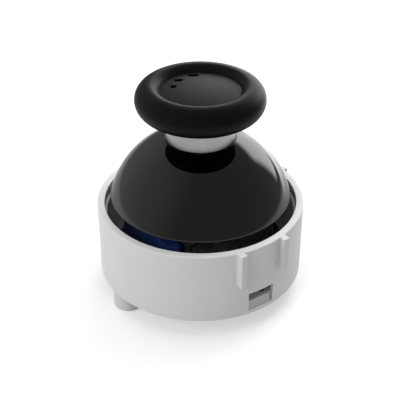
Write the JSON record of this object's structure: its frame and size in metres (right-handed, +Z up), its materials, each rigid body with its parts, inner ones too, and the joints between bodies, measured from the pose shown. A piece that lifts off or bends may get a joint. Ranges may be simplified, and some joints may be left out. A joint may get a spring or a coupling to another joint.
{
  "type": "joystick module",
  "caption": "Two-axis thumb joystick module: grey cup housing, black tilting spherical skirt, metal trim ring and rubber thumb cap, with a push switch.",
  "frame": {"origin": "centre of the flat underside of the module, the face that seats on a board or case", "axes": "+Z up along the stick at rest; -Y towards the cable window; +X towards the single side rib"},
  "size_m": [0.0319, 0.0319, 0.0336],
  "materials": {
    "housing_grey": "fine matte moulding",
    "base_grey": "fine matte moulding",
    "liner_dark": "satin",
    "gloss_black": "mirror gloss",
    "satin_metal": "satin",
    "cap_rubber": "satin rubber",
    "black_moulding": "satin",
    "navy_moulding": "satin",
    "white_moulding": "satin",
    "frame_steel": "stamped sheet",
    "steel": "turned",
    "spring_steel": "drawn wire",
    "board_green": "solder mask",
    "connector_beige": "plain",
    "gold_pin": "plated",
    "tin": "tinned",
    "ceramic": "plain"
  },
  "bodies": {
    "root": {"housing": "housing_grey", "inner_liner": "liner_dark", "base_plate": "base_grey", "base_screw_1": "steel", "base_screw_2": "steel", "circuit_board": "board_green", "connector_shell": "connector_beige", "connector_pin_1": "gold_pin", "connector_pin_2": "gold_pin", "connector_pin_3": "gold_pin", "connector_pin_4": "gold_pin", "gimbal_base": "black_moulding", "gimbal_frame": "frame_steel", "sensor_y_body": "navy_moulding", "sensor_y_terminal_1": "tin", "sensor_y_terminal_2": "tin", "sensor_y_terminal_3": "tin", "sensor_x_body": "black_moulding", "sensor_x_terminal_1": "tin", "sensor_x_terminal_2": "tin", "sensor_x_terminal_3": "tin", "switch_body": "black_moulding", "board_capacitor_1": "ceramic", "board_capacitor_2": "ceramic", "board_capacitor_3": "ceramic", "return_spring": "spring_steel"},
    "slider": {"press_slider": "black_moulding"},
    "rocker": {"lower_rocker": "white_moulding", "pivot_pin": "steel", "sensor_y_rotor": "white_moulding"},
    "stick": {"stick_shaft": "steel", "dome_skirt": "gloss_black", "trim_ring": "satin_metal", "cap_core": "black_moulding", "thumb_cap": "cap_rubber"},
    "bail": {"upper_rocker": "white_moulding", "sensor_x_rotor": "white_moulding"},
    "plunger": {"spring_plunger": "black_moulding"},
    "button": {"switch_button": "white_moulding"}
  },
  "joints": [
    {"name": "press", "type": "slide", "parent": "root", "child": "slider", "axis": [0, 0, -1], "range_m": [0, 0.0005], "stiffness_N_per_m": 1000, "springref_m": -0.00006, "deforming": ["return_spring"]},
    {"name": "fore_aft_tilt", "type": "hinge", "parent": "slider", "child": "rocker", "pos_m": [0, 0, 0.00878], "axis": [1, 0, 0], "range_deg": [-18, 18], "stiffness_Nm_per_rad": 0.04},
    {"name": "side_tilt", "type": "hinge", "parent": "rocker", "child": "stick", "pos_m": [0, 0, 0.00878], "axis": [0, 1, 0], "range_deg": [-18, 18], "stiffness_Nm_per_rad": 0.04},
    {"name": "bail_tilt", "type": "hinge", "parent": "root", "child": "bail", "pos_m": [0, 0, 0.00878], "axis": [0, 1, 0], "range_deg": [-18, 18]},
    {"name": "plunger_slide", "type": "slide", "parent": "root", "child": "plunger", "axis": [0, 0, -1], "range_m": [0, 0.0005]},
    {"name": "button_slide", "type": "slide", "parent": "root", "child": "button", "axis": [0, 0, -1], "range_m": [0, 0.00025]}
  ],
  "couplings": [
    {"joint": "bail_tilt", "follows": "side_tilt", "ratio": 1},
    {"joint": "plunger_slide", "follows": "press", "ratio": 1},
    {"joint": "button_slide", "follows": "press", "ratio": 0.5}
  ]
}
